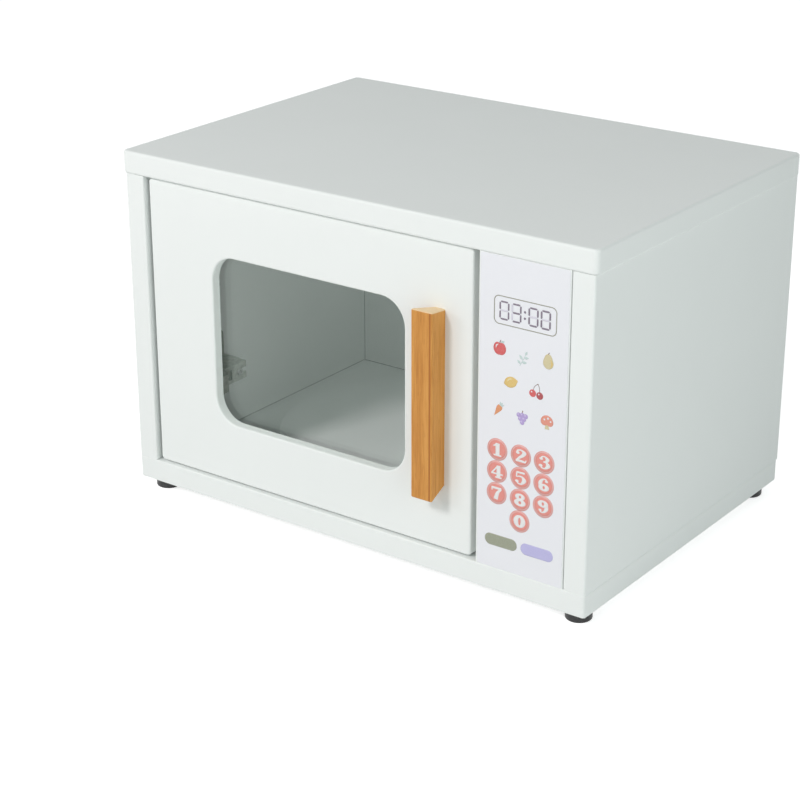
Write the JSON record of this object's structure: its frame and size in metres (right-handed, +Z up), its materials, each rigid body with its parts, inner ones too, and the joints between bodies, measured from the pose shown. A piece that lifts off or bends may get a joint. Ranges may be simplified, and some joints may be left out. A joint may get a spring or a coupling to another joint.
{
  "type": "toy microwave",
  "caption": "Toy microwave oven: white board box on small feet with a hinged windowed door, square wooden bar handle, printed keypad panel and a turntable inside.",
  "frame": {"origin": "centre of the bounding box at the level the feet stand on", "axes": "+Z up, front with door and keypad towards -Y, door hinged on the -X side, keypad on the +X side"},
  "size_m": [0.424, 0.308, 0.282],
  "materials": {
    "painted_board": "smooth satin white paint over fibreboard",
    "turntable_paint": "smooth satin white paint over fibreboard",
    "panel_film": "satin printed film, pale lavender white",
    "handle_wood": "sanded and oiled light bamboo, grain along the bar",
    "dowel_wood": "raw beech",
    "clear_pane": "clear acrylic sheet",
    "black_foot": "near black, slightly shiny moulded foot",
    "hinge_steel": "dark nickel plated pressed steel",
    "screw_steel": "nickel plated steel",
    "nylon": "natural nylon",
    "clear_pad": "clear soft pad"
  },
  "bodies": {
    "cabinet": {"top_board": "painted_board", "base_board": "painted_board", "left_side_board": "painted_board", "right_side_board": "painted_board", "back_board": "painted_board", "inner_partition": "painted_board", "control_panel_board": "painted_board", "control_panel_film": "panel_film", "board_dowels": "dowel_wood", "door_bumpers": "clear_pad", "front_left_foot": "black_foot", "front_right_foot": "black_foot", "back_left_foot": "black_foot", "back_right_foot": "black_foot", "foot_screws": "screw_steel", "lower_hinge_plate": "hinge_steel", "upper_hinge_plate": "hinge_steel", "hinge_plate_screws": "screw_steel", "lower_hinge_arm": "hinge_steel", "upper_hinge_arm": "hinge_steel", "hinge_arm_screws": "screw_steel", "hinge_arm_pins": "hinge_steel", "turntable_washer": "nylon", "turntable_pivot_screw": "screw_steel"},
    "door": {"door_board": "painted_board", "window_pane": "clear_pane", "pane_screws": "screw_steel", "door_handle": "handle_wood", "handle_screws": "screw_steel", "lower_hinge_cup": "hinge_steel", "upper_hinge_cup": "hinge_steel", "hinge_cup_screws": "screw_steel", "hinge_cup_pins": "hinge_steel"},
    "lower_outer_link": {"lower_outer_link": "hinge_steel"},
    "upper_outer_link": {"upper_outer_link": "hinge_steel"},
    "lower_inner_link": {"lower_inner_link": "hinge_steel"},
    "upper_inner_link": {"upper_inner_link": "hinge_steel"},
    "turntable": {"turntable_plate": "turntable_paint", "turntable_bush": "nylon"}
  },
  "joints": [
    {"name": "lower_outer_link_turn", "type": "hinge", "parent": "cabinet", "child": "lower_outer_link", "pos_m": [-0.1702, -0.0963, 0.087], "axis": [0, 0, 1], "range_deg": [0, 20.66]},
    {"name": "door_swing", "type": "hinge", "parent": "lower_outer_link", "child": "door", "pos_m": [-0.1804, -0.1246, 0.087], "axis": [0, 0, -1], "range_deg": [0, 115.65]},
    {"name": "upper_outer_link_turn", "type": "hinge", "parent": "cabinet", "child": "upper_outer_link", "pos_m": [-0.1702, -0.0963, 0.205], "axis": [0, 0, 1], "range_deg": [0, 20.66]},
    {"name": "lower_inner_link_turn", "type": "hinge", "parent": "door", "child": "lower_inner_link", "pos_m": [-0.1777, -0.1283, 0.087], "axis": [0, 0, 1], "range_deg": [0, 101.84]},
    {"name": "upper_inner_link_turn", "type": "hinge", "parent": "door", "child": "upper_inner_link", "pos_m": [-0.1777, -0.1283, 0.205], "axis": [0, 0, 1], "range_deg": [0, 101.84]},
    {"name": "turntable_spin", "type": "hinge", "parent": "cabinet", "child": "turntable", "pos_m": [-0.04625, 0.014, 0.034], "axis": [0, 0, 1], "continuous": true}
  ],
  "couplings": [
    {"joint": "lower_outer_link_turn", "follows": "door_swing", "ratio": 0.17857},
    {"joint": "upper_outer_link_turn", "follows": "door_swing", "ratio": 0.17857},
    {"joint": "lower_inner_link_turn", "follows": "door_swing", "ratio": 0.88052},
    {"joint": "upper_inner_link_turn", "follows": "door_swing", "ratio": 0.88052}
  ]
}
